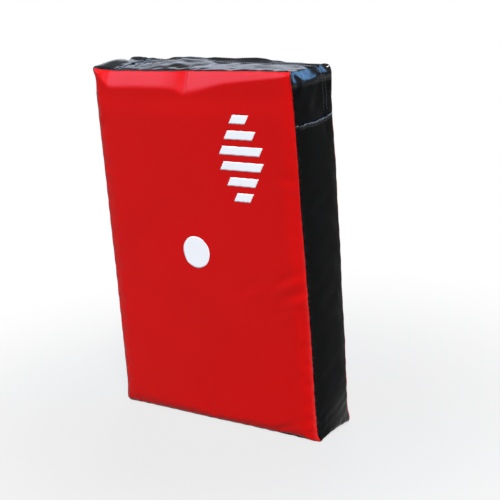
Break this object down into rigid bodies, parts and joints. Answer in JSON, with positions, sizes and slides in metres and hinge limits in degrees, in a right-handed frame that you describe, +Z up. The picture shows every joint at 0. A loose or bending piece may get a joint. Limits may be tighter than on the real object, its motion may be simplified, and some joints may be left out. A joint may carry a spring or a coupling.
{
  "type": "kick shield",
  "caption": "Upright rectangular strike pad: a foam block in a sewn vinyl cover with a zip in the top edge, a round aiming spot and padded arm straps on the back.",
  "frame": {"origin": "centre of the face that the pad stands on", "axes": "+Z up along the tall side, -Y out of the striking face, +X to the right seen from the front"},
  "size_m": [0.4004, 0.1598, 0.6042],
  "materials": {
    "red_vinyl": "glossy PVC-coated fabric",
    "black_vinyl": "glossy PVC-coated fabric",
    "white_print": "glossy film",
    "black_webbing": "woven",
    "zip_tape": "woven",
    "zip_teeth": "moulded",
    "zip_metal": "dark nickel",
    "eva_foam": "closed-cell foam",
    "pu_foam": "open-cell foam",
    "grip_foam": "closed-cell foam",
    "thread": "bonded thread"
  },
  "bodies": {
    "pad": {"front_panel": "red_vinyl", "back_panel": "red_vinyl", "main_boxing": "black_vinyl", "zip_boxing_front": "black_vinyl", "zip_boxing_rear": "black_vinyl", "zip_tape_front": "zip_tape", "zip_tape_rear": "zip_tape", "zip_teeth_front": "zip_teeth", "zip_teeth_rear": "zip_teeth", "zip_start_stops": "zip_metal", "zip_end_stop": "zip_metal", "impact_foam": "eva_foam", "core_foam": "pu_foam", "backing_foam": "eva_foam", "target_spot": "white_print", "front_mark": "white_print", "strap_webbing_left": "black_webbing", "grip_foam_left": "grip_foam", "grip_sleeve_left": "black_vinyl", "strap_patch_lower_left": "black_vinyl", "inner_patch_lower_left": "black_vinyl", "strap_patch_upper_left": "black_vinyl", "inner_patch_upper_left": "black_vinyl", "strap_webbing_right": "black_webbing", "grip_foam_right": "grip_foam", "grip_sleeve_right": "black_vinyl", "strap_patch_lower_right": "black_vinyl", "inner_patch_lower_right": "black_vinyl", "strap_patch_upper_right": "black_vinyl", "inner_patch_upper_right": "black_vinyl", "zip_stitching_front": "thread", "zip_stitching_rear": "thread", "hem_stitching": "thread", "strap_stitching": "thread"},
    "zip_slider": {"zip_slider": "zip_metal"},
    "zip_pull": {"zip_pull": "zip_metal"}
  },
  "joints": [
    {"name": "zip_slide", "type": "slide", "parent": "pad", "child": "zip_slider", "axis": [1, 0, 0], "range_m": [0, 0.326]},
    {"name": "zip_pull_hinge", "type": "hinge", "parent": "zip_slider", "child": "zip_pull", "pos_m": [-0.148, 0.027, 0.6019], "axis": [0, -1, 0], "range_deg": [0, 180]}
  ]
}
